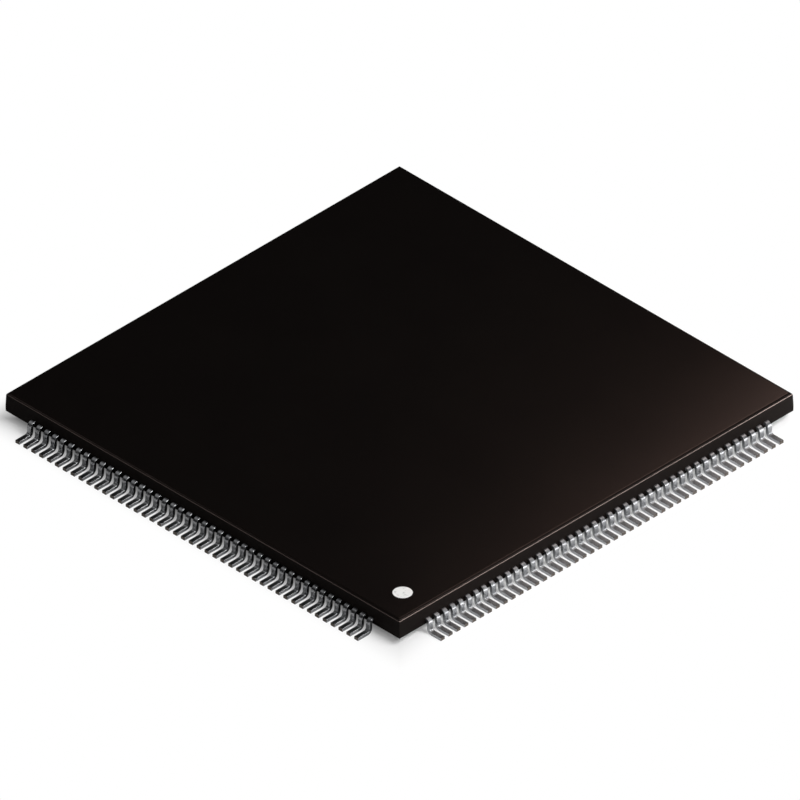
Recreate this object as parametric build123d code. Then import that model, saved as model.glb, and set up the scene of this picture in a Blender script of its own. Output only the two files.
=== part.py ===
from build123d import *
import os
from math import cos, radians, sin, sqrt

# A quad flat pack chip in black moulding compound, standing on its feet. All lengths are in millimetres.
# The origin lies on the seating plane, under the middle of the body, and +Z is up.
# Pin 1 is at the -X, -Y corner, and the pins are counted counter-clockwise seen from above:
# the front row (-Y side), the right row (+X side), the back row (+Y side), then the left row (-X side).

# Body of moulding compound, in the order in which it lies on the leads
body_side = 20.0               # edge of the square body, measured round the band that the leads leave
stand_off = 0.35               # clear height under the body
compound_below_leads = 0.133   # from the body's underside to the underside of the leads
compound_above_leads = 0.54    # from the upper side of the leads to the body's top
draft_angle = 2.0              # degrees that the walls lean in, above and below the leads' band
top_edge_radius = 0.12         # rounding where the walls meet the top
ejector_mark_diameter = 1.2    # shallow round prints of the mould's ejector pins, underneath
ejector_mark_depth = 0.03
ejector_mark_inset = 3.2       # from the walls to the middle of an ejector print

# Pin 1 mark, a painted disc at the bottom of a shallow dimple
mark_diameter = 0.74
mark_thickness = 0.03
dimple_depth = 0.04
mark_from_left = 1.33          # from the left wall to the middle of the mark
mark_from_front = 1.17         # from the front wall to the middle of the mark

# Leads, stamped and bent from one sheet
lead_pitch = 0.40
lead_width = 0.20
lead_thickness = 0.127
lead_reach = 0.80              # from the wall to the tip of the foot
lead_bend_radius = 0.09        # on the inside of both bends
corner_clearance = 1.30        # least length of wall between a body corner and the middle of a lead
bend_facets = 2                # flats that stand for each quarter turn of a bend
banks_per_side = 4             # leads are grouped in this many banks on each side

# Inner leads, which draw together towards the die
tip_gap = 1.0                  # between the paddle and the tips of the inner leads
tip_corner_gap = 0.77          # from the corner of the square of tips to the middle of its first tip
tip_width_share = 0.55         # width of an inner tip, as a share of the pitch of the tips

# Die paddle with its four tie bars, stamped from the same sheet
paddle_side = 9.0
paddle_downset = 0.05          # how much lower than the leads the paddle lies
tie_bar_width = 0.30
tie_bar_cover = 0.25           # compound between the end of a tie bar and the corner of the body
joggle_start = 0.30            # from the paddle's corner to the step in the tie bar
joggle_run = 0.10              # length of that step

# Silicon die and the adhesive under it
die_margin = 0.50              # rim of paddle left free round the die
die_thickness = 0.25
adhesive_thickness = 0.02
adhesive_spread = 0.15         # rim of adhesive that shows round the die

# Heights above the seating plane
body_bottom = stand_off
lead_bottom = body_bottom + compound_below_leads
lead_top = lead_bottom + lead_thickness
body_top = lead_top + compound_above_leads
paddle_bottom = lead_bottom - paddle_downset
paddle_top = paddle_bottom + lead_thickness
die_bottom = paddle_top + adhesive_thickness

# Places in plan
half_body = body_side / 2
half_paddle = paddle_side / 2
half_tips = half_paddle + tip_gap
quarter_turn = 90
sides = ["front", "right", "back", "left"]
leads_per_side = int((body_side - 2 * corner_clearance) / lead_pitch) + 1
tip_pitch = 2 * (half_tips - tip_corner_gap) / (leads_per_side - 1)
tip_width = tip_pitch * tip_width_share


def plate(side, bottom, thickness):
    """A square plate about the Z axis."""
    return extrude(Plane.XY.offset(bottom) * Rectangle(side, side), thickness)


def disc(x, y, bottom, diameter, thickness):
    return extrude(Plane.XY.offset(bottom) * Pos(x, y) * Circle(diameter / 2), thickness)


def around(shape, turns):
    """The same shape on another side of the body."""
    return Rot(0, 0, quarter_turn * turns) * shape


def arc_points(centre, radius, start_angle, turn):
    """Points along one surface of a bend, as (distance out from the wall, height)."""
    out, height = centre
    angles = [radians(start_angle + turn * i / bend_facets) for i in range(bend_facets + 1)]
    return [(out + radius * cos(a), height + radius * sin(a)) for a in angles]


def gull_wing():
    """The outer lead at the middle of the front wall: shoulder bend, upright leg, heel bend and flat foot."""
    outside_radius = lead_bend_radius + lead_thickness
    shoulder = (0, lead_top - outside_radius)
    heel = (outside_radius + lead_bend_radius, outside_radius)
    upper = arc_points(shoulder, outside_radius, quarter_turn, -quarter_turn)
    upper += arc_points(heel, lead_bend_radius, 2 * quarter_turn, quarter_turn)
    upper.append((lead_reach, lead_thickness))
    lower = arc_points(shoulder, lead_bend_radius, quarter_turn, -quarter_turn)
    lower += arc_points(heel, outside_radius, 2 * quarter_turn, quarter_turn)
    lower.append((lead_reach, 0))
    outline = make_face(Polyline(*upper, *reversed(lower), close=True))
    outward = Plane(origin=(0, -half_body, 0), x_dir=(0, -1, 0), z_dir=(-1, 0, 0))
    return extrude(outward * outline, lead_width / 2, both=True)


def inner_lead(wall_x, tip_x):
    """The flat stretch inside the body, which narrows from the wall to its tip beside the die."""
    corners = [
        (wall_x - lead_width / 2, -half_body),
        (wall_x + lead_width / 2, -half_body),
        (tip_x + tip_width / 2, -half_tips),
        (tip_x - tip_width / 2, -half_tips),
    ]
    outline = make_face(Polyline(*corners, close=True))
    return extrude(Plane.XY.offset(lead_bottom) * outline, lead_thickness)


def front_leads():
    outer_lead = gull_wing()
    leads = []
    for i in range(leads_per_side):
        from_middle = i - (leads_per_side - 1) / 2
        wall_x = from_middle * lead_pitch
        leads.append(Pos(wall_x, 0, 0) * outer_lead + inner_lead(wall_x, from_middle * tip_pitch))
    return leads


def tie_bar():
    """One bar from the paddle's corner, stepping up to the height of the leads and out to the body's corner."""
    paddle_corner = half_paddle * sqrt(2)
    step_foot = paddle_corner + joggle_start
    step_head = step_foot + joggle_run
    bar_end = half_body * sqrt(2) - tie_bar_cover
    underside = [
        (paddle_corner - tie_bar_width, paddle_bottom),
        (step_foot, paddle_bottom),
        (step_head, lead_bottom),
        (bar_end, lead_bottom),
    ]
    upperside = [(out, height + lead_thickness) for out, height in underside]
    outline = make_face(Polyline(*underside, *reversed(upperside), close=True))
    diagonal = Plane(origin=(0, 0, 0), x_dir=(1, 1, 0), z_dir=(1, -1, 0))
    return extrude(diagonal * outline, tie_bar_width / 2, both=True)


def die_paddle():
    bar = tie_bar()
    paddle = plate(paddle_side, paddle_bottom, lead_thickness)
    for turns in range(len(sides)):
        paddle += around(bar, turns)
    return paddle


def moulded_block():
    """The body's outer form: an upright band round the leads, with drafted walls above and below it."""
    band = plate(body_side, lead_bottom, lead_thickness)
    outline = Rectangle(body_side, body_side)
    upper = extrude(Plane.XY.offset(lead_top) * outline, compound_above_leads, taper=draft_angle)
    downward = Plane(origin=(0, 0, lead_bottom), z_dir=(0, 0, -1))
    lower = extrude(downward * outline, compound_below_leads, taper=draft_angle)
    block = upper + band + lower
    return fillet(block.edges().group_by(Axis.Z)[-1], top_edge_radius)


def mould_body(embedded):
    """The block with its dimple and ejector prints, and with a seat of the exact form of all that it encloses."""
    body = moulded_block()
    body -= disc(mark_x, mark_y, body_top - dimple_depth, mark_diameter, dimple_depth)
    print_place = half_body - ejector_mark_inset
    ejector_print = disc(print_place, print_place, body_bottom, ejector_mark_diameter, ejector_mark_depth)
    prints = [around(ejector_print, turns) for turns in range(len(sides))]
    return body - (prints + embedded)


def save(node, *pieces):
    """One file for a node, which holds one solid or a group of separate solids."""
    solids = [solid for piece in pieces for solid in piece.solids()]
    shape = solids[0] if len(solids) == 1 else Compound(solids)
    export_step(shape, f"parts/{node}.step")


os.makedirs("parts", exist_ok=True)

mark_x = mark_from_left - half_body
mark_y = mark_from_front - half_body
mark = disc(mark_x, mark_y, body_top - dimple_depth, mark_diameter, mark_thickness)
paddle = die_paddle()
die_side = paddle_side - 2 * die_margin
adhesive = plate(die_side + 2 * adhesive_spread, paddle_top, adhesive_thickness)
die = plate(die_side, die_bottom, die_thickness)

front_row = front_leads()
rows = [[around(lead, turns) for lead in front_row] for turns in range(len(sides))]
all_leads = [lead for row in rows for lead in row]

save("mould_body", mould_body([paddle, adhesive, die] + all_leads))
save("pin_1_mark", mark)
save("die_paddle", paddle)
save("die_adhesive", adhesive)
save("silicon_die", die)

for side, row in zip(sides, rows):
    for bank in range(banks_per_side):
        first = bank * leads_per_side // banks_per_side
        after = (bank + 1) * leads_per_side // banks_per_side
        save(f"leads_{side}_bank_{bank + 1}", *row[first:after])
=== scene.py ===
from math import cos, pi, radians, sin, sqrt

import bmesh
import bpy
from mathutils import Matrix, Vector


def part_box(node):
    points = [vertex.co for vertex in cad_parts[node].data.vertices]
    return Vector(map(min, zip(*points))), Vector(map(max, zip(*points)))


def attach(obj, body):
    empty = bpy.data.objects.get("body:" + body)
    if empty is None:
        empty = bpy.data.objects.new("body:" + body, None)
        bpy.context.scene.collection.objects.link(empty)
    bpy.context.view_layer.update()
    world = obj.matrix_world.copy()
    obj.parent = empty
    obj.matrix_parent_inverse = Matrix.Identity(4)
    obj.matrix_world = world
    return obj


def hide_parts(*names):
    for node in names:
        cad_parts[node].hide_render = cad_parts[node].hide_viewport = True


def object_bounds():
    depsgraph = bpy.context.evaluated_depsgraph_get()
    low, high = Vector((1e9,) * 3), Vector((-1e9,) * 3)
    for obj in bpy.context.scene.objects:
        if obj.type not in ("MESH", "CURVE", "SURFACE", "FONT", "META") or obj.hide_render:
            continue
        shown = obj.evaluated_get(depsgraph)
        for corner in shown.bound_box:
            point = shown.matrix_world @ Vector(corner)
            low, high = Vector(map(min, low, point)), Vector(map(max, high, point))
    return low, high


# The looks of a quad flat pack chip: black moulded body, white pin 1 mark and four rows of tin-plated leads.
# Lengths are in metres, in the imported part's own frame: +Z is up, and pin 1 is at the -X, -Y corner.

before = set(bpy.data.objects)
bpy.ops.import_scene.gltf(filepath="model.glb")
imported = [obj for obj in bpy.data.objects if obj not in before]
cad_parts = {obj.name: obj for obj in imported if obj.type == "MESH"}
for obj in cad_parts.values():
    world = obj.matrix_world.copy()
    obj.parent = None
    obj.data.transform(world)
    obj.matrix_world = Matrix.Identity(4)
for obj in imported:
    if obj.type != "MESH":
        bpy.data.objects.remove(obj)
cad_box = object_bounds()

MM = 0.001
SIDES = ["front", "right", "back", "left"]
BANKS_PER_SIDE = 4
SEED = 7                         # of the small difference in tone from lead to lead

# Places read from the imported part
body_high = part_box("mould_body")[1]
mark_low, mark_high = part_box("pin_1_mark")
bank_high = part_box("leads_front_bank_2")[1]
half_body = body_high.x
body_top = body_high.z
lead_reach = cad_box[1].x - half_body
lead_top = bank_high.z
tip_line = -bank_high.y

# Leads, as in the part
LEADS_PER_SIDE = 44
LEAD_PITCH = 0.40 * MM
LEAD_WIDTH = 0.20 * MM
LEAD_THICKNESS = 0.127 * MM
LEAD_BEND_RADIUS = 0.09 * MM     # on the inside of both bends
TIP_PITCH = 0.22 * MM            # of the inner tips
TIP_WIDTH = 0.121 * MM
LEAD_EDGE = 0.012 * MM           # taken off along the upper edges
BEND_STEPS = 3                   # stretches that draw a quarter turn of a bend
LEAD_CREASE = radians(35)        # a sharper turn than this keeps its edge

# Pin 1 mark
MARK_STEPS = 64
MARK_RIM_STEPS = 4
MARK_RIM_SHARE = 0.4             # rounding of the ink's rim, as a share of its thickness
# How far the ink sinks towards its middle: shares of its radius, each with a share of its thickness
MARK_SAG_SHARES = ((0.7, 0.12), (0.3, 0.2))
MARK_CREASE = radians(50)

# Which way a face of the body looks, as the height of its normal
TOP_SLOPE = 0.985                # the top looks up more than this
PAINTED_HIGHLIGHT_SLOPES = (0.2, 0.8)    # and the rounding's lighter, glossier part, a painted highlight, lies between these

# Sizes of grain and marks in the finishes, and heights of the grain
TOP_GRAIN = 0.07 * MM
TOP_GRAIN_HEIGHT = 0.002 * MM
WALL_GRAIN = 0.09 * MM
WALL_GRAIN_HEIGHT = 0.005 * MM
FLOW_LENGTH = 2.5 * MM
INK_GRAIN = 0.05 * MM
INK_GRAIN_HEIGHT = 0.003 * MM
INK_PATCH = 0.16 * MM
TIN_CRYSTAL = 0.04 * MM
TIN_CRYSTAL_HEIGHT = 0.002 * MM
TIN_PATCH = 0.3 * MM
SHEAR_STREAK = 0.03 * MM
ROLLING_LINE = 0.05 * MM
SILVER_FLAKE = 0.04 * MM
CIRCUIT_BLOCK = 2.2 * MM

# Scale of a pattern along X, Y and Z, where less than 1 draws it out
SHEAR_DRAW = (1, 1, 0.2)
ROLLING_DRAW = (1, 0.03, 1)

# Floor and studio
FLOOR_HALF = 1.0
FLOOR_GAP = 0.002 * MM           # the floor lies this far under the feet
# How far from the middle the floor's lift to white starts and is whole, as seen and as the chip mirrors it
WHITE_IN_VIEW = (9.2 * MM, 11.2 * MM)
WHITE_IN_MIRROR = (30 * MM, 60 * MM)
# Height of a direction up to which the studio's walls are white, and from which they are dim
HORIZON_WHITE = 0.02
HORIZON_DIM = 0.05

# Camera, after the photograph
IMAGE_PIXELS = 800
PIXELS_PER_MM = 27.86
TOP_CENTRE_PIXEL = (399.5, 392.5)
CAMERA_ELEVATION = 35.4          # degrees, over the pin 1 corner
CAMERA_DISTANCE = 0.3
CLIP_RANGE = (0.01, 10)

# Soft lights: place, what they are aimed at and size, all in millimetres, then radiance and colour.
# A radiance of 1 shows as white. The first two lie lower than the chip's top, so the top mirrors neither.
SOFTBOXES = {
    "front_strip": ((3.3, -11.8, 0.95), (3.3, -10, 0.85), (25.6, 0.32), 8.5, "#ffffff"),
    "corner_softbox": ((12.5, -12.4, 0.7), (8.5, -10.5, 0.4), (6, 0.8), 6, "#ffffff"),
    "sheen_softbox": ((16, -4, 21), (0, 0, 0), (20, 20), 1.5, "#fff4f0"),
    "fill_softbox": ((5, -56, 66), (0, 0, 0), (40, 40), 13.4, "#ffffff"),
    "back_softbox": ((-16, 26, 30), (0, 0, 0), (26, 26), 0.45, "#ffffff"),
}


def linear(hex_colour):
    """An sRGB hex colour as linear RGBA."""
    parts = [int(hex_colour[i:i + 2], 16) / 255 for i in (1, 3, 5)]
    return tuple(c / 12.92 if c <= 0.04045 else ((c + 0.055) / 1.055) ** 2.4 for c in parts) + (1,)


def add(tree, kind, settings=None, inputs=None):
    """Adds a node. Each input gets a value, or a link to a socket or to a node's first output."""
    node = tree.nodes.new(kind)
    for name, value in (settings or {}).items():
        setattr(node, name, value)
    for key, value in (inputs or {}).items():
        named = [socket for socket in node.inputs if socket.enabled and socket.name == key]
        socket = named[0] if named else node.inputs[key]
        if isinstance(value, bpy.types.Node):
            value = [output for output in value.outputs if output.enabled][0]
        if isinstance(value, bpy.types.NodeSocket):
            tree.links.new(value, socket)
        else:
            socket.default_value = value
    return node


def empty_material(name):
    """A material with an empty tree."""
    material = bpy.data.materials.new(name)
    material.use_nodes = True
    material.node_tree.nodes.clear()
    return material, material.node_tree


def moulding_compound():
    """Black epoxy moulding compound from a finely eroded mould: satin, almost black, with an even grain."""
    material, tree = empty_material("black_epoxy_moulding_compound")
    place = add(tree, "ShaderNodeTexCoord").outputs["Object"]
    # The real grain is about 0.02 mm, too fine to show, so it is drawn coarser.
    grain = add(tree, "ShaderNodeTexNoise", None, {
        "Vector": place, "Scale": 1 / TOP_GRAIN, "Detail": 3.0, "Roughness": 0.6})
    flow = add(tree, "ShaderNodeTexNoise", None, {
        "Vector": place, "Scale": 1 / FLOW_LENGTH, "Detail": 3.0, "Roughness": 0.5})
    colour = add(tree, "ShaderNodeMix", {"data_type": "RGBA"}, {
        "Factor": flow, "A": linear("#090808"), "B": linear("#0c0b0a")})
    roughness = add(tree, "ShaderNodeMapRange", None, {
        "Value": flow, "From Min": 0.3, "From Max": 0.7, "To Min": 0.24, "To Max": 0.255})
    bump = add(tree, "ShaderNodeBump", None, {
        "Strength": 0.2, "Distance": TOP_GRAIN_HEIGHT, "Height": grain})
    shader = add(tree, "ShaderNodeBsdfPrincipled", None, {
        "Base Color": colour, "Roughness": roughness, "IOR": 1.5, "Specular IOR Level": 0.7,
        "Specular Tint": linear("#ffcbb5"), "Normal": bump})
    add(tree, "ShaderNodeOutputMaterial", None, {"Surface": shader})
    return material


def painted_highlight_compound():
    """The same compound, lighter and glossier, on the steep part of the rounding: a painted highlight along
    the edge, and a thin, warm line of light where it mirrors the lamps.
    """
    material, tree = empty_material("moulding_compound_painted_edge_highlight")
    place = add(tree, "ShaderNodeTexCoord").outputs["Object"]
    grain = add(tree, "ShaderNodeTexNoise", None, {
        "Vector": place, "Scale": 1 / TOP_GRAIN, "Detail": 3.0, "Roughness": 0.6})
    # Lighter than the top's colour: a painted highlight along the rounding.
    colour = add(tree, "ShaderNodeMix", {"data_type": "RGBA"}, {
        "Factor": grain, "A": linear("#0d0b0a"), "B": linear("#13110f")})
    roughness = add(tree, "ShaderNodeMapRange", None, {
        "Value": grain, "From Min": 0.3, "From Max": 0.7, "To Min": 0.2, "To Max": 0.26})
    shader = add(tree, "ShaderNodeBsdfPrincipled", None, {
        "Base Color": colour, "Roughness": roughness, "IOR": 1.5, "Specular IOR Level": 0.9,
        "Specular Tint": linear("#ffe0d6")})
    add(tree, "ShaderNodeOutputMaterial", None, {"Surface": shader})
    return material


def eroded_compound():
    """The same compound on the walls and underneath, cast against a coarsely eroded mould: dull black."""
    material, tree = empty_material("eroded_moulding_compound")
    place = add(tree, "ShaderNodeTexCoord").outputs["Object"]
    grain = add(tree, "ShaderNodeTexNoise", None, {
        "Vector": place, "Scale": 1 / WALL_GRAIN, "Detail": 3.0, "Roughness": 0.6})
    colour = add(tree, "ShaderNodeMix", {"data_type": "RGBA"}, {
        "Factor": grain, "A": linear("#0b0908"), "B": linear("#110d0c")})
    bump = add(tree, "ShaderNodeBump", None, {
        "Strength": 0.4, "Distance": WALL_GRAIN_HEIGHT, "Height": grain})
    shader = add(tree, "ShaderNodeBsdfPrincipled", None, {
        "Base Color": colour, "Roughness": 0.55, "IOR": 1.5, "Specular IOR Level": 0.05,
        "Specular Tint": linear("#ffe0d2"), "Normal": bump})
    add(tree, "ShaderNodeOutputMaterial", None, {"Surface": shader})
    return material


def marking_ink():
    """White epoxy marking ink, pad-printed in a dimple: matt, with thin patches that show the black."""
    material, tree = empty_material("white_marking_ink")
    place = add(tree, "ShaderNodeTexCoord").outputs["Object"]
    patches = add(tree, "ShaderNodeTexNoise", None, {
        "Vector": place, "Scale": 1 / INK_PATCH, "Detail": 2.0, "Roughness": 0.5})
    thin = add(tree, "ShaderNodeMapRange", None, {"Value": patches, "From Min": 0.52, "From Max": 0.72})
    colour = add(tree, "ShaderNodeMix", {"data_type": "RGBA"}, {
        "Factor": thin, "A": linear("#f8f8f6"), "B": linear("#c8c8c7")})
    grain = add(tree, "ShaderNodeTexNoise", None, {"Vector": place, "Scale": 1 / INK_GRAIN, "Detail": 2.0})
    bump = add(tree, "ShaderNodeBump", None, {
        "Strength": 0.2, "Distance": INK_GRAIN_HEIGHT, "Height": grain})
    shader = add(tree, "ShaderNodeBsdfPrincipled", None, {
        "Base Color": colour, "Roughness": 0.6, "IOR": 1.5, "Normal": bump})
    add(tree, "ShaderNodeOutputMaterial", None, {"Surface": shader})
    return material


def tin_plate():
    """Matt tin plated on copper alloy: soft silver, finely crystalline, with a tone that differs by lead."""
    material, tree = empty_material("matt_tin_plate")
    place = add(tree, "ShaderNodeTexCoord").outputs["Object"]
    # Tin crystals are about 0.005 mm, too fine to show, so they are drawn coarser.
    crystals = add(tree, "ShaderNodeTexNoise", None, {
        "Vector": place, "Scale": 1 / TIN_CRYSTAL, "Detail": 3.0, "Roughness": 0.6})
    patches = add(tree, "ShaderNodeTexNoise", None, {
        "Vector": place, "Scale": 1 / TIN_PATCH, "Detail": 2.0, "Roughness": 0.5})
    tone = add(tree, "ShaderNodeAttribute", {"attribute_name": "lead_tone"}).outputs["Fac"]
    shade = add(tree, "ShaderNodeMath", {"operation": "ADD"}, {0: patches, 1: tone})
    spread = add(tree, "ShaderNodeMapRange", None, {"Value": shade, "From Min": 0.2, "From Max": 0.9})
    colour = add(tree, "ShaderNodeMix", {"data_type": "RGBA"}, {
        "Factor": spread, "A": linear("#888a8d"), "B": linear("#9b9c9e")})
    roughness = add(tree, "ShaderNodeMapRange", None, {
        "Value": crystals, "From Min": 0.3, "From Max": 0.7, "To Min": 0.26, "To Max": 0.34})
    bump = add(tree, "ShaderNodeBump", None, {
        "Strength": 0.2, "Distance": TIN_CRYSTAL_HEIGHT, "Height": crystals})
    shader = add(tree, "ShaderNodeBsdfPrincipled", None, {
        "Base Color": colour, "Metallic": 1.0, "Roughness": roughness, "Normal": bump})
    add(tree, "ShaderNodeOutputMaterial", None, {"Surface": shader})
    return material


def sheared_metal():
    """A lead's cut end, where the trim tool has drawn tin over the copper alloy: dull and a little brown."""
    material, tree = empty_material("sheared_copper_alloy")
    place = add(tree, "ShaderNodeTexCoord").outputs["Object"]
    drawn = add(tree, "ShaderNodeMapping", None, {"Vector": place, "Scale": SHEAR_DRAW})
    streaks = add(tree, "ShaderNodeTexNoise", None, {
        "Vector": drawn, "Scale": 1 / SHEAR_STREAK, "Detail": 2.0})
    colour = add(tree, "ShaderNodeMix", {"data_type": "RGBA"}, {
        "Factor": streaks, "A": linear("#4e4843"), "B": linear("#6e6761")})
    shader = add(tree, "ShaderNodeBsdfPrincipled", None, {
        "Base Color": colour, "Metallic": 1.0, "Roughness": 0.45})
    add(tree, "ShaderNodeOutputMaterial", None, {"Surface": shader})
    return material


def rolled_copper():
    """Copper alloy sheet, rolled and bare: warm red-brown with fine straight rolling lines."""
    material, tree = empty_material("rolled_copper_alloy")
    place = add(tree, "ShaderNodeTexCoord").outputs["Object"]
    rolled = add(tree, "ShaderNodeMapping", None, {"Vector": place, "Scale": ROLLING_DRAW})
    lines = add(tree, "ShaderNodeTexNoise", None, {
        "Vector": rolled, "Scale": 1 / ROLLING_LINE, "Detail": 3.0, "Roughness": 0.6})
    colour = add(tree, "ShaderNodeMix", {"data_type": "RGBA"}, {
        "Factor": lines, "A": linear("#b0764f"), "B": linear("#c98f6a")})
    roughness = add(tree, "ShaderNodeMapRange", None, {
        "Value": lines, "From Min": 0.3, "From Max": 0.7, "To Min": 0.25, "To Max": 0.4})
    shader = add(tree, "ShaderNodeBsdfPrincipled", None, {
        "Base Color": colour, "Metallic": 1.0, "Roughness": roughness})
    add(tree, "ShaderNodeOutputMaterial", None, {"Surface": shader})
    return material


def silver_epoxy():
    """Cured silver-filled epoxy: grey, with flakes of silver."""
    material, tree = empty_material("silver_filled_epoxy")
    place = add(tree, "ShaderNodeTexCoord").outputs["Object"]
    flakes = add(tree, "ShaderNodeTexNoise", None, {
        "Vector": place, "Scale": 1 / SILVER_FLAKE, "Detail": 2.0})
    colour = add(tree, "ShaderNodeMix", {"data_type": "RGBA"}, {
        "Factor": flakes, "A": linear("#8f8f8c"), "B": linear("#c9c9c6")})
    metal = add(tree, "ShaderNodeMapRange", None, {
        "Value": flakes, "From Min": 0.3, "From Max": 0.7, "To Min": 0.1, "To Max": 0.8})
    shader = add(tree, "ShaderNodeBsdfPrincipled", None, {
        "Base Color": colour, "Metallic": metal, "Roughness": 0.5})
    add(tree, "ShaderNodeOutputMaterial", None, {"Surface": shader})
    return material


def processed_silicon():
    """A polished silicon die under its glassy oxide: blocks of circuitry that differ a little in tint."""
    material, tree = empty_material("processed_silicon")
    place = add(tree, "ShaderNodeTexCoord").outputs["Object"]
    blocks = add(tree, "ShaderNodeTexBrick", {"offset": 0.35, "squash": 0.7}, {
        "Vector": place, "Scale": 1 / CIRCUIT_BLOCK,
        "Color1": linear("#3d4a5c"), "Color2": linear("#5b5266"), "Mortar": linear("#8a8470"),
        "Mortar Size": 0.012, "Brick Width": 0.5, "Row Height": 0.3})
    shader = add(tree, "ShaderNodeBsdfPrincipled", None, {
        "Base Color": blocks, "Metallic": 0.6, "Roughness": 0.12})
    add(tree, "ShaderNodeOutputMaterial", None, {"Surface": shader})
    return material


def link_object(name, data):
    """An object that holds the data, put in the scene."""
    thing = bpy.data.objects.new(name, data)
    bpy.context.scene.collection.objects.link(thing)
    return thing


def bend_stations(centre, start_turn, facing):
    """Places round a quarter turn of a lead's middle line. Facing is 1 where the lead's upper side is the
    outer one, and -1 where it is the inner one."""
    radius = LEAD_BEND_RADIUS + LEAD_THICKNESS / 2
    stations = []
    for i in range(BEND_STEPS + 1):
        turn = start_turn - facing * pi / 2 * i / BEND_STEPS
        out, up = cos(turn), sin(turn)
        stations.append((centre[0] + radius * out, centre[1] + radius * up, facing * out, facing * up))
    return stations


def lead_stations():
    """Places along a lead's middle line, inner tip to foot: reach from the wall, height, and the way up."""
    outside_radius = LEAD_BEND_RADIUS + LEAD_THICKNESS
    shoulder = (0, lead_top - outside_radius)
    heel = (outside_radius + LEAD_BEND_RADIUS, outside_radius)
    inner_tip = (tip_line - half_body, lead_top - LEAD_THICKNESS / 2, 0, 1)
    foot_tip = (lead_reach, LEAD_THICKNESS / 2, 0, 1)
    return [inner_tip, *bend_stations(shoulder, pi / 2, 1), *bend_stations(heel, pi, -1), foot_tip]


def lead_mesh():
    """One lead at the middle of the front wall, with its upper edges taken off."""
    wide, thick = LEAD_WIDTH / 2, LEAD_THICKNESS / 2
    section = [(wide - LEAD_EDGE, thick), (wide, thick - LEAD_EDGE), (wide, -thick),
               (-wide, -thick), (-wide, thick - LEAD_EDGE), (LEAD_EDGE - wide, thick)]
    work = bmesh.new()
    cut = work.faces.layers.bool.new("cut_end")
    rings = []
    for out, height, up_out, up in lead_stations():
        rings.append([work.verts.new((across, -(half_body + out + rise * up_out), height + rise * up))
                      for across, rise in section])
    for first, second in zip(rings, rings[1:]):
        for i in range(len(section)):
            j = (i + 1) % len(section)
            work.faces.new((first[i], first[j], second[j], second[i]))
    work.faces.new(rings[0])
    work.faces.new(rings[-1])[cut] = True
    for face in work.faces:
        face.smooth = True
    bmesh.ops.recalc_face_normals(work, faces=work.faces)
    mesh = bpy.data.meshes.new("lead")
    work.to_mesh(mesh)
    work.free()
    mesh.set_sharp_from_angle(angle=LEAD_CREASE)
    return mesh


def lead_row_tree():
    """Repeats a lead along the front wall, draws the inner ends together, and turns the row to its side."""
    tree = bpy.data.node_groups.new("lead_row", "GeometryNodeTree")
    tree.interface.new_socket("Geometry", in_out="OUTPUT", socket_type="NodeSocketGeometry")
    for name, kind in (("Lead", "Geometry"), ("Count", "Int"), ("First place", "Vector"), ("Step", "Vector"),
                       ("Wall", "Float"), ("Tip line", "Float"), ("Tip pitch share", "Float"),
                       ("Tip width share", "Float"), ("Turn", "Vector"), ("Seed", "Int"),
                       ("Plate", "Material"), ("Cut end", "Material")):
        tree.interface.new_socket(name, in_out="INPUT", socket_type="NodeSocket" + kind)
    given = add(tree, "NodeGroupInput").outputs
    position = add(tree, "GeometryNodeInputPosition")
    place = add(tree, "ShaderNodeSeparateXYZ", None, {"Vector": position}).outputs
    on_points = {"data_type": "FLOAT", "domain": "POINT"}

    line = add(tree, "GeometryNodeMeshLine", None, {
        "Count": given["Count"], "Start Location": given["First place"], "Offset": given["Step"]})
    marked = add(tree, "GeometryNodeStoreNamedAttribute", on_points, {
        "Geometry": line, "Name": "lead_middle", "Value": place["X"]})
    tone = add(tree, "FunctionNodeRandomValue", {"data_type": "FLOAT"}, {"Seed": given["Seed"]})
    toned = add(tree, "GeometryNodeStoreNamedAttribute", on_points, {
        "Geometry": marked, "Name": "lead_tone", "Value": tone})
    copies = add(tree, "GeometryNodeInstanceOnPoints", None, {"Points": toned, "Instance": given["Lead"]})
    row = add(tree, "GeometryNodeRealizeInstances", None, {"Geometry": copies})

    # Inside the wall, a lead leans towards its tip's place and narrows to its tip's width.
    middle = add(tree, "GeometryNodeInputNamedAttribute", {"data_type": "FLOAT"}, {"Name": "lead_middle"})
    lean = add(tree, "ShaderNodeMapRange", None, {
        "Value": place["Y"], "From Min": given["Wall"], "From Max": given["Tip line"],
        "To Min": 1.0, "To Max": given["Tip pitch share"]})
    narrow = add(tree, "ShaderNodeMapRange", None, {
        "Value": place["Y"], "From Min": given["Wall"], "From Max": given["Tip line"],
        "To Min": 1.0, "To Max": given["Tip width share"]})
    aside = add(tree, "ShaderNodeMath", {"operation": "SUBTRACT"}, {0: place["X"], 1: middle})
    narrowed = add(tree, "ShaderNodeMath", {"operation": "MULTIPLY"}, {0: aside, 1: narrow})
    leaned = add(tree, "ShaderNodeMath", {"operation": "MULTIPLY_ADD"}, {0: middle, 1: lean, 2: narrowed})
    drawn = add(tree, "ShaderNodeCombineXYZ", None, {"X": leaned, "Y": place["Y"], "Z": place["Z"]})
    fanned = add(tree, "GeometryNodeSetPosition", None, {"Geometry": row, "Position": drawn})

    turned = add(tree, "GeometryNodeTransform", None, {"Geometry": fanned, "Rotation": given["Turn"]})
    plated = add(tree, "GeometryNodeSetMaterial", None, {"Geometry": turned, "Material": given["Plate"]})
    is_cut = add(tree, "GeometryNodeInputNamedAttribute", {"data_type": "BOOLEAN"}, {"Name": "cut_end"})
    cut = add(tree, "GeometryNodeSetMaterial", None, {
        "Geometry": plated, "Selection": is_cut, "Material": given["Cut end"]})
    add(tree, "NodeGroupOutput", None, {"Geometry": cut})
    return tree


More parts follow.
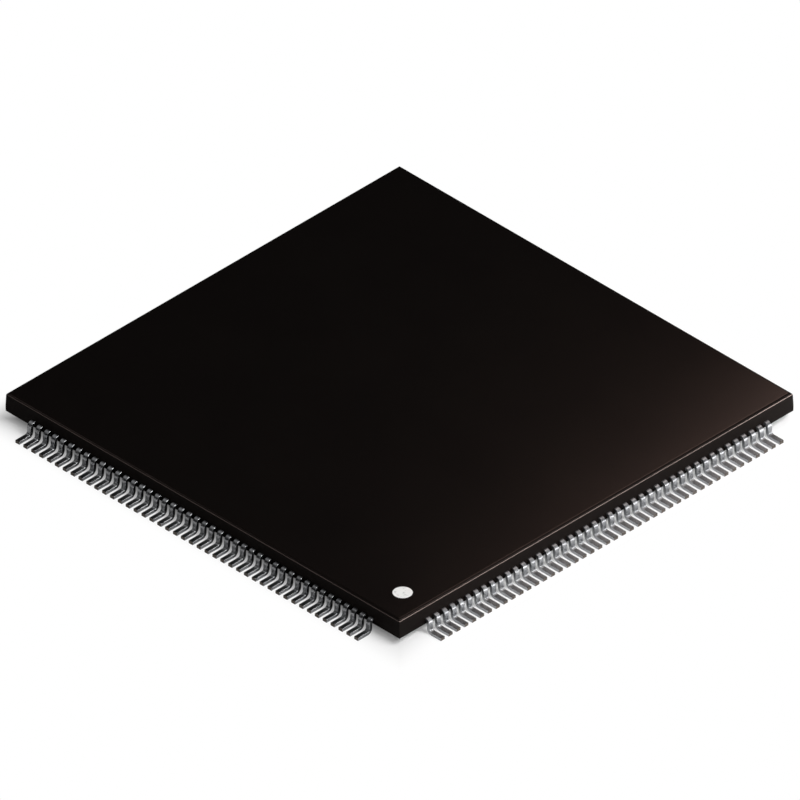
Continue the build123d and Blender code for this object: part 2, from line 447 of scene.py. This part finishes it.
def lead_row(tree, lead, side, plate, cut_end):
    """The 44 leads of one side as one plain mesh, in place of the side's four banks."""
    half_row = (LEADS_PER_SIDE - 1) * LEAD_PITCH / 2
    values = {
        "Count": LEADS_PER_SIDE, "First place": (-half_row, 0.0, 0.0), "Step": (LEAD_PITCH, 0.0, 0.0),
        "Wall": -half_body, "Tip line": -tip_line, "Tip pitch share": TIP_PITCH / LEAD_PITCH,
        "Tip width share": TIP_WIDTH / LEAD_WIDTH, "Turn": (0.0, 0.0, SIDES.index(side) * pi / 2),
        "Seed": SEED, "Plate": plate, "Cut end": cut_end}
    pattern = link_object("pattern", lead)
    modifier = pattern.modifiers.new("lead_row", "NODES")
    modifier.node_group = tree
    for socket in tree.interface.items_tree:
        if socket.in_out == "INPUT" and socket.name in values:
            modifier[socket.identifier] = values[socket.name]
    seen = pattern.evaluated_get(bpy.context.evaluated_depsgraph_get())
    mesh = bpy.data.meshes.new_from_object(seen)
    mesh.name = f"lead_row_{side}"
    pattern.modifiers.remove(modifier)
    bpy.data.objects.remove(pattern)
    row = link_object(f"lead_row_{side}", mesh)
    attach(row, "root")
    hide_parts(*[f"leads_{side}_bank_{bank + 1}" for bank in range(BANKS_PER_SIDE)])


def ink_profile():
    """The ink's outline from its lower rim to its middle: a rounded rim, and a face that sinks a little."""
    radius = (mark_high.x - mark_low.x) / 2
    thickness = mark_high.z - mark_low.z
    rim = MARK_RIM_SHARE * thickness
    profile = [(radius, mark_low.z)]
    for i in range(MARK_RIM_STEPS + 1):
        turn = pi / 2 * i / MARK_RIM_STEPS
        profile.append((radius - rim + rim * cos(turn), mark_high.z - rim + rim * sin(turn)))
    for reach, sag in MARK_SAG_SHARES:
        profile.append((reach * radius, mark_high.z - sag * thickness))
    return profile


def ink_mark(ink):
    """The printed disc at the bottom of its dimple, in place of the plain one."""
    centre = (mark_low + mark_high) / 2
    turns = [2 * pi * k / MARK_STEPS for k in range(MARK_STEPS)]
    work = bmesh.new()
    rings = []
    for reach, height in ink_profile():
        rings.append([work.verts.new((centre.x + reach * cos(turn), centre.y + reach * sin(turn), height))
                      for turn in turns])
    for first, second in zip(rings, rings[1:]):
        for k in range(MARK_STEPS):
            n = (k + 1) % MARK_STEPS
            work.faces.new((first[k], first[n], second[n], second[k]))
    for ring in (rings[0], rings[-1]):
        pole = work.verts.new((centre.x, centre.y, ring[0].co.z))
        for k in range(MARK_STEPS):
            work.faces.new((ring[k], ring[(k + 1) % MARK_STEPS], pole))
    for face in work.faces:
        face.smooth = True
    bmesh.ops.recalc_face_normals(work, faces=work.faces)
    mesh = bpy.data.meshes.new("ink_mark")
    work.to_mesh(mesh)
    work.free()
    mesh.set_sharp_from_angle(angle=MARK_CREASE)
    mesh.materials.append(ink)
    mark = link_object("ink_mark", mesh)
    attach(mark, "root")
    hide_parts("pin_1_mark")


def dress_node(node, *materials):
    """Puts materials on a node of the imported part, the first of them on every face."""
    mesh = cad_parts[node].data
    mesh.materials.clear()
    for material in materials:
        mesh.materials.append(material)
    return mesh


def dress_body(top, edge, walls):
    """Satin on top, a lighter and glossier copy on the steep part of the rounding as a painted highlight,
    and dull elsewhere.
    """
    for face in dress_node("mould_body", top, edge, walls).polygons:
        if face.normal.z > TOP_SLOPE:
            face.material_index = 0
        elif PAINTED_HIGHLIGHT_SLOPES[0] < face.normal.z < PAINTED_HIGHLIGHT_SLOPES[1]:
            face.material_index = 1
        else:
            face.material_index = 2


def pale_floor():
    """A plain pale floor. Near the chip it keeps its own colour and the chip's shadow. In the open, and
    farther out as the chip mirrors it, it is lifted to white."""
    corners = [(x * FLOOR_HALF, y * FLOOR_HALF, -FLOOR_GAP) for x, y in ((-1, -1), (1, -1), (1, 1), (-1, 1))]
    mesh = bpy.data.meshes.new("floor")
    mesh.from_pydata(corners, [], [(0, 1, 2, 3)])
    material, tree = empty_material("pale_floor")
    place = add(tree, "ShaderNodeTexCoord").outputs["Object"]
    reach = add(tree, "ShaderNodeVectorMath", {"operation": "ABSOLUTE"}, {0: place})
    reaches = add(tree, "ShaderNodeSeparateXYZ", None, {"Vector": reach}).outputs
    farther = add(tree, "ShaderNodeMath", {"operation": "MAXIMUM"}, {0: reaches["X"], 1: reaches["Y"]})
    rays = add(tree, "ShaderNodeLightPath").outputs
    mirrored = add(tree, "ShaderNodeMath", {"operation": "MAXIMUM"}, {
        0: rays["Is Glossy Ray"], 1: rays["Is Transmission Ray"]})
    open_floor = add(tree, "ShaderNodeMapRange", {"interpolation_type": "SMOOTHSTEP"}, {
        "Value": farther, "From Min": WHITE_IN_VIEW[0], "From Max": WHITE_IN_VIEW[1]})
    mirror_floor = add(tree, "ShaderNodeMapRange", {"interpolation_type": "SMOOTHSTEP"}, {
        "Value": farther, "From Min": WHITE_IN_MIRROR[0], "From Max": WHITE_IN_MIRROR[1]})
    in_mirror = add(tree, "ShaderNodeMath", {"operation": "MULTIPLY"}, {0: mirrored, 1: mirror_floor})
    share = add(tree, "ShaderNodeMath", {"operation": "MULTIPLY_ADD"}, {
        0: rays["Is Camera Ray"], 1: open_floor, 2: in_mirror})
    paint = add(tree, "ShaderNodeBsdfDiffuse", None, {"Color": linear("#e6e6e6")})
    white = add(tree, "ShaderNodeEmission", None, {"Color": linear("#ffffff"), "Strength": 1.0})
    shader = add(tree, "ShaderNodeMixShader", None, {0: share, 1: paint, 2: white})
    add(tree, "ShaderNodeOutputMaterial", None, {"Surface": shader})
    mesh.materials.append(material)
    link_object("floor", mesh)


def studio_world():
    """A dim studio whose walls are white up to just over the horizon."""
    world = bpy.data.worlds.new("studio")
    world.use_nodes = True
    tree = world.node_tree
    tree.nodes.clear()
    direction = add(tree, "ShaderNodeTexCoord").outputs["Generated"]
    height = add(tree, "ShaderNodeSeparateXYZ", None, {"Vector": direction}).outputs["Z"]
    dim = add(tree, "ShaderNodeMapRange", None, {
        "Value": height, "From Min": HORIZON_WHITE, "From Max": HORIZON_DIM})
    colour = add(tree, "ShaderNodeMix", {"data_type": "RGBA"}, {
        "Factor": dim, "A": linear("#ffffff"), "B": linear("#1c1c1d")})
    background = add(tree, "ShaderNodeBackground", None, {"Color": colour, "Strength": 1.0})
    add(tree, "ShaderNodeOutputWorld", None, {"Surface": background})
    bpy.context.scene.world = world


def softbox(name, place, target, size, radiance, colour):
    """A rectangular soft light that the camera doesn't see."""
    data = bpy.data.lights.new(name, "AREA")
    data.shape = "RECTANGLE"
    data.size, data.size_y = (side * MM for side in size)
    data.energy = radiance * pi * data.size * data.size_y
    data.color = linear(colour)[:3]
    light = link_object(name, data)
    light.location = Vector(place) * MM
    light.rotation_euler = (Vector(target) - Vector(place)).to_track_quat("-Z", "Y").to_euler()
    light.visible_camera = False


def camera():
    """The photograph's view: parallel lines, from above pin 1, about equally steep to all three axes."""
    data = bpy.data.cameras.new("camera")
    data.type = "ORTHO"
    data.ortho_scale = IMAGE_PIXELS / PIXELS_PER_MM * MM
    data.clip_start, data.clip_end = CLIP_RANGE
    viewer = link_object("camera", data)
    elevation = radians(CAMERA_ELEVATION)
    right = Vector((1, -1, 0)).normalized()
    towards = Vector((-cos(elevation) / sqrt(2), -cos(elevation) / sqrt(2), sin(elevation)))
    up = towards.cross(right)
    pixel = MM / PIXELS_PER_MM
    aside = (IMAGE_PIXELS / 2 - TOP_CENTRE_PIXEL[0]) * pixel
    below = (TOP_CENTRE_PIXEL[1] - IMAGE_PIXELS / 2) * pixel
    target = Vector((0, 0, body_top)) + right * aside + up * below
    viewer.location = target + towards * CAMERA_DISTANCE
    viewer.rotation_euler = (-towards).to_track_quat("-Z", "Y").to_euler()
    bpy.context.scene.camera = viewer


camera()
studio_world()
pale_floor()
for name, values in SOFTBOXES.items():
    softbox(name, *values)

dress_body(moulding_compound(), painted_highlight_compound(), eroded_compound())
dress_node("die_paddle", rolled_copper())
dress_node("die_adhesive", silver_epoxy())
dress_node("silicon_die", processed_silicon())
ink_mark(marking_ink())

row_tree, lead_pattern = lead_row_tree(), lead_mesh()
tin, cut_metal = tin_plate(), sheared_metal()
for side in SIDES:
    lead_row(row_tree, lead_pattern, side, tin, cut_metal)

bpy.context.scene.view_settings.view_transform = "Standard"
